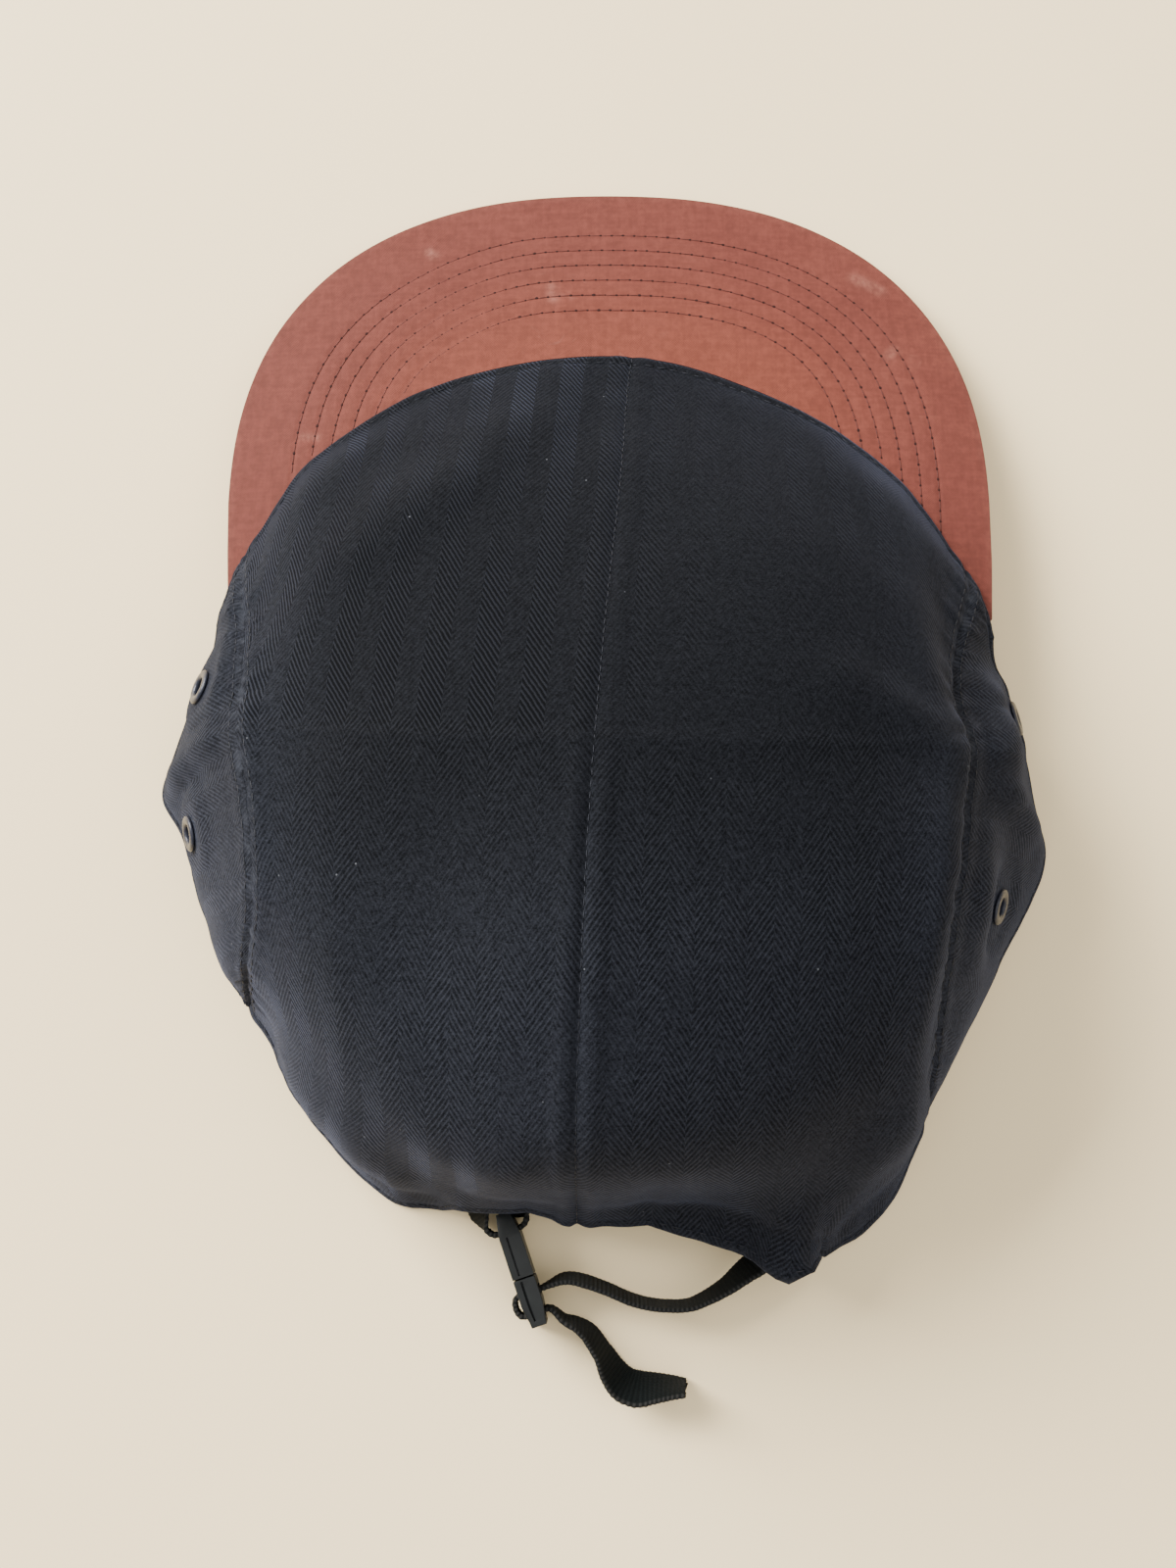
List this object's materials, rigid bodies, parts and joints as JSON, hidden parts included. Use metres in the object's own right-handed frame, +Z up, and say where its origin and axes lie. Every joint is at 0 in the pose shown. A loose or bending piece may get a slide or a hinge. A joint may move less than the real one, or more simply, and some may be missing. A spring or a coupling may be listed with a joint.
{
  "type": "cap",
  "caption": "Soft camp cap with a herringbone cotton crown, a waxed cotton brim, four metal eyelets and a webbing strap closed by a side-release buckle.",
  "frame": {"origin": "middle of the bounding box on the surface the cap lies on", "axes": "-Y toward the front edge of the brim, +Z up, +X toward the cap's left side"},
  "size_m": [0.2036, 0.2834, 0.0759],
  "materials": {
    "herringbone_cotton": "matt woven cloth",
    "waxed_cotton": "matt waxed cloth",
    "painted_metal": "painted",
    "webbing": "ribbed webbing",
    "plastic": "moulded, satin"
  },
  "bodies": {
    "root": {"main_panel_left": "herringbone_cotton", "main_panel_right": "herringbone_cotton", "side_panel_left": "herringbone_cotton", "side_panel_right": "herringbone_cotton", "brim": "waxed_cotton", "eyelet_left_front": "painted_metal", "eyelet_left_back": "painted_metal", "eyelet_right_front": "painted_metal", "eyelet_right_back": "painted_metal", "strap_loop": "webbing", "strap": "webbing", "buckle_socket": "plastic", "buckle_plug": "plastic"}
  },
  "joints": []
}
